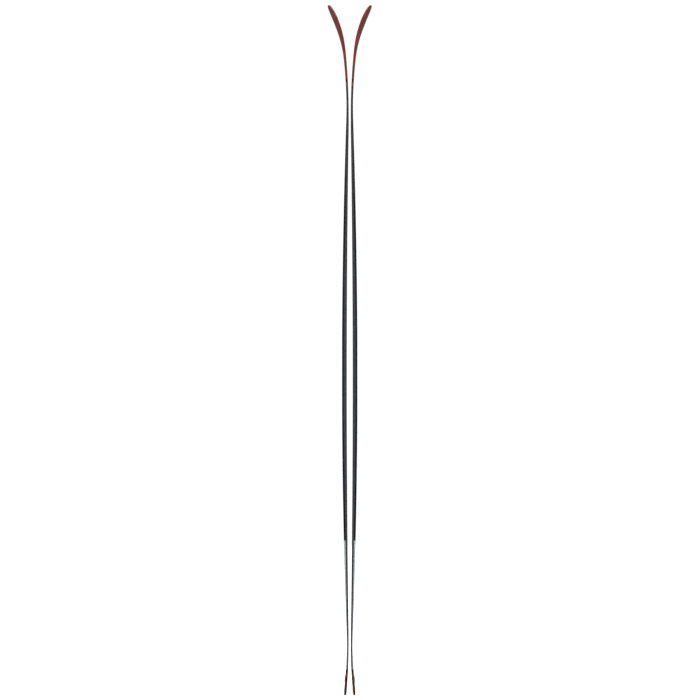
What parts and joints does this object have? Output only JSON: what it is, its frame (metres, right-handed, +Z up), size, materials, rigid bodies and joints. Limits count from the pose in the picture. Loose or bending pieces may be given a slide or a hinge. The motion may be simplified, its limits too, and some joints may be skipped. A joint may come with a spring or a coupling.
{
  "type": "alpine skis",
  "caption": "Pair of flat alpine skis standing base to base on their tails, with rockered tips, steel edges, sidewalls, wood core and layered laminate.",
  "frame": {"origin": "on the floor, midway between the two running bases, at the bottom centre of the bounding box", "axes": "+Z up along the skis from tail to tip, X the thickness direction with the right ski at +X and the bases facing each other, Y the width with the inside edges at -Y"},
  "size_m": [0.113, 0.134, 1.76],
  "materials": {
    "topsheet": "clear-coated polyamide topsheet, red at the tip and light grey at the tail",
    "sidewall": "milled ABS sidewall, grey",
    "spacer": "solid red plastic tip and tail spacer",
    "running_base": "stone-ground sintered polyethylene, black",
    "steel_edge": "ground and filed steel edge",
    "backing_fleece": "bonding fleece on the back of the base",
    "glass_fibre": "glass-fibre laminate in epoxy",
    "damping_rubber": "thin damping rubber foil",
    "titanal": "sanded high-strength aluminium sheet",
    "reinforcement_laminate": "dense fibre plate that holds the binding screws",
    "ash": "sawn ash stringers",
    "poplar": "sawn poplar stringers",
    "protector": "moulded black tail protector",
    "clip_plate": "satin anodised plate",
    "rivet": "pressed rivets"
  },
  "bodies": {
    "left_ski": {"left_ash_stringers": "ash", "left_base_backing": "backing_fleece", "left_binding_reinforcement": "reinforcement_laminate", "left_clip_rivets": "rivet", "left_damping_rubber": "damping_rubber", "left_inside_edge": "steel_edge", "left_inside_sidewall": "sidewall", "left_lower_glass": "glass_fibre", "left_lower_titanal": "titanal", "left_outside_edge": "steel_edge", "left_outside_sidewall": "sidewall", "left_poplar_stringers": "poplar", "left_running_base": "running_base", "left_tail_clip_plate": "clip_plate", "left_tail_protector": "protector", "left_tail_spacer": "spacer", "left_tip_spacer": "spacer", "left_topsheet": "topsheet", "left_upper_glass": "glass_fibre", "left_upper_titanal": "titanal"},
    "right_ski": {"right_ash_stringers": "ash", "right_base_backing": "backing_fleece", "right_binding_reinforcement": "reinforcement_laminate", "right_clip_rivets": "rivet", "right_damping_rubber": "damping_rubber", "right_inside_edge": "steel_edge", "right_inside_sidewall": "sidewall", "right_lower_glass": "glass_fibre", "right_lower_titanal": "titanal", "right_outside_edge": "steel_edge", "right_outside_sidewall": "sidewall", "right_poplar_stringers": "poplar", "right_running_base": "running_base", "right_tail_clip_plate": "clip_plate", "right_tail_protector": "protector", "right_tail_spacer": "spacer", "right_tip_spacer": "spacer", "right_topsheet": "topsheet", "right_upper_glass": "glass_fibre", "right_upper_titanal": "titanal"}
  },
  "joints": [
    {"name": "ski_separation", "type": "slide", "parent": "left_ski", "child": "right_ski", "axis": [1, 0, 0], "range_m": [-0.004, 0.25]}
  ]
}
